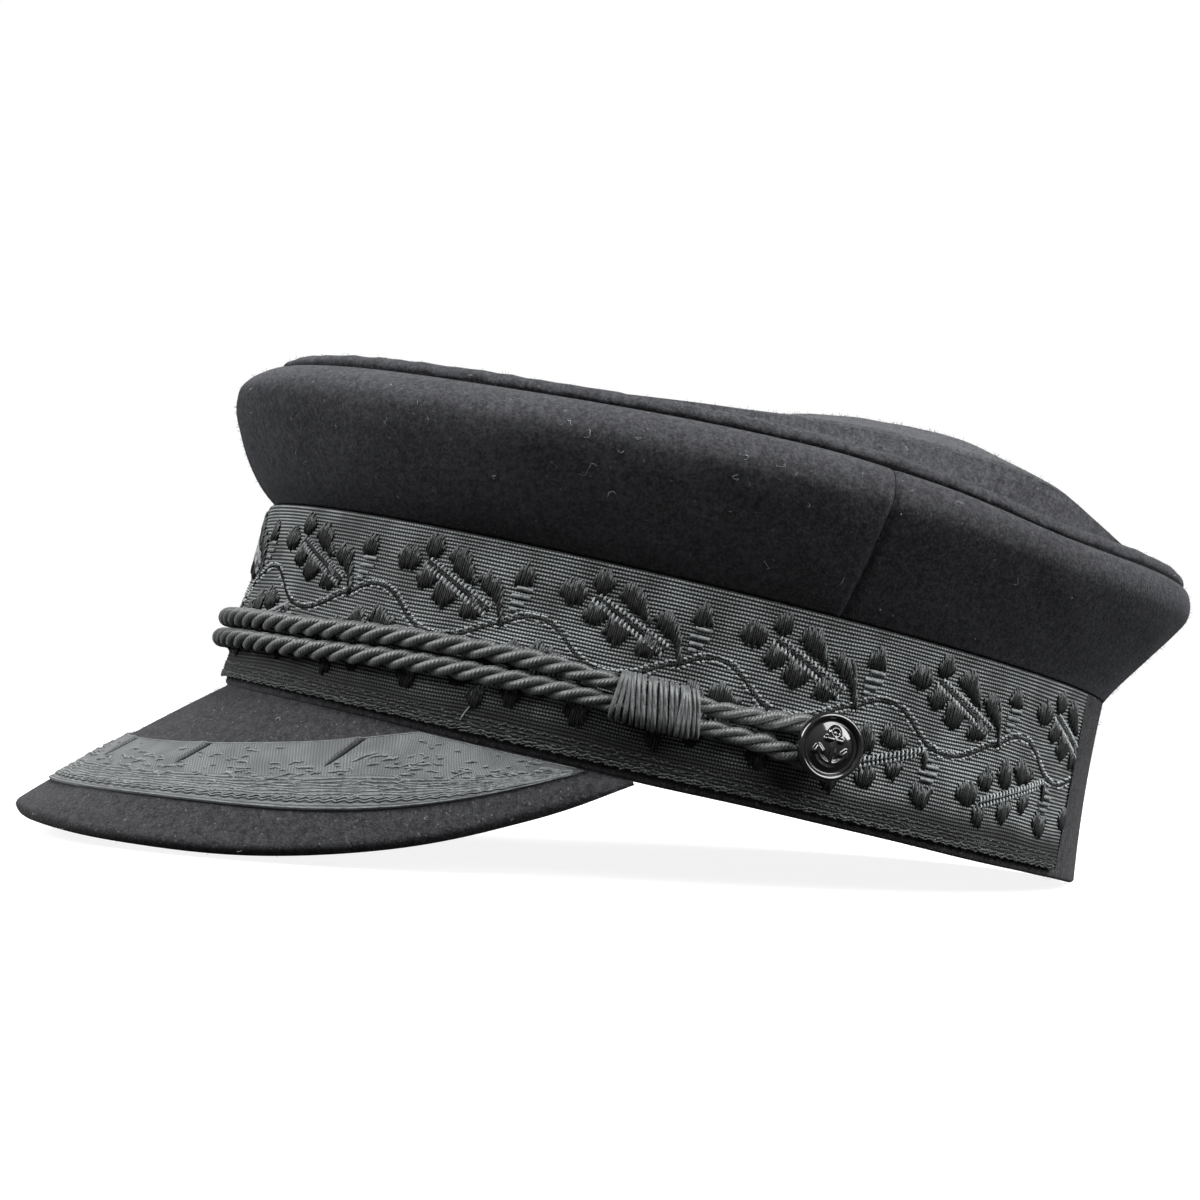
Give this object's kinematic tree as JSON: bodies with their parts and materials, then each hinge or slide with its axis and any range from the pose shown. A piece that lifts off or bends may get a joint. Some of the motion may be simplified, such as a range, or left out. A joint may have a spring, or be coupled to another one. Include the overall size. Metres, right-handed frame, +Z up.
{
  "type": "breton fisherman cap",
  "caption": "Black wool fisherman cap with a puffed crown, embroidered ribbon band, short sloping peak, twisted cord and black buttons.",
  "frame": {"origin": "on the surface that the cap rests on, under the middle of its length and width", "axes": "+Z up, the peak towards -Y, the wearer's left towards +X"},
  "size_m": [0.2038, 0.2772, 0.1128],
  "materials": {
    "wool": "brushed black wool",
    "felt": "black felt, matt",
    "ribbon": "dark grey ribbed ribbon",
    "cord": "black satin cord",
    "button": "black gloss"
  },
  "bodies": {
    "root": {"headband": "felt", "band_trim": "ribbon", "crown_side_left": "wool", "crown_side_right": "wool", "crown_back": "wool", "crown_top": "wool", "peak": "felt", "peak_trim": "ribbon", "front_cord": "cord", "cord_slider_left": "cord", "cord_slider_right": "cord", "button_left": "button", "button_right": "button"}
  },
  "joints": []
}
